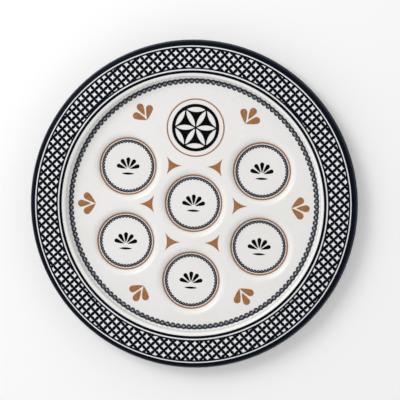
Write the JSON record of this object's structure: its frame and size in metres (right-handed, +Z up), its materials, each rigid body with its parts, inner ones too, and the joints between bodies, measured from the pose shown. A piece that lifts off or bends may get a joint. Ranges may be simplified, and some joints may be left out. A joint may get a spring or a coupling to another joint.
{
  "type": "seder plate",
  "caption": "Round moulded seder plate with recessed wells for the ritual foods, a flat rim printed with a net of overlapping circles, a turned-down lip and a foot ring",
  "frame": {"origin": "middle of the foot ring's underside, where the plate rests on a table", "axes": "+Z up out of the plate's face, +Y towards the title roundel, +X to the right of it"},
  "size_m": [0.33, 0.33, 0.0208],
  "materials": {
    "white_melamine": "gloss",
    "navy_print": "gloss",
    "black_print": "gloss",
    "copper_print": "gloss"
  },
  "bodies": {
    "root": {"plate_body": "white_melamine", "edge_band": "navy_print", "rim_net": "navy_print", "rim_pinstripe": "navy_print", "floor_lace": "navy_print", "title_ring": "copper_print", "title_rosette": "black_print", "floret_right": "copper_print", "floret_upper_right": "copper_print", "floret_upper_left": "copper_print", "floret_left": "copper_print", "floret_lower_left": "copper_print", "floret_lower_right": "copper_print", "triangle_right": "copper_print", "triangle_upper_right": "copper_print", "triangle_upper_left": "copper_print", "triangle_left": "copper_print", "triangle_lower_left": "copper_print", "triangle_lower_right": "copper_print", "well_line_centre": "copper_print", "well_lace_centre": "navy_print", "well_ornament_centre": "black_print", "well_line_upper_left": "copper_print", "well_lace_upper_left": "navy_print", "well_ornament_upper_left": "black_print", "well_line_upper_right": "copper_print", "well_lace_upper_right": "navy_print", "well_ornament_upper_right": "black_print", "well_line_lower_left": "copper_print", "well_lace_lower_left": "navy_print", "well_ornament_lower_left": "black_print", "well_line_lower_right": "copper_print", "well_lace_lower_right": "navy_print", "well_ornament_lower_right": "black_print", "well_line_bottom": "copper_print", "well_lace_bottom": "navy_print", "well_ornament_bottom": "black_print"}
  },
  "joints": []
}
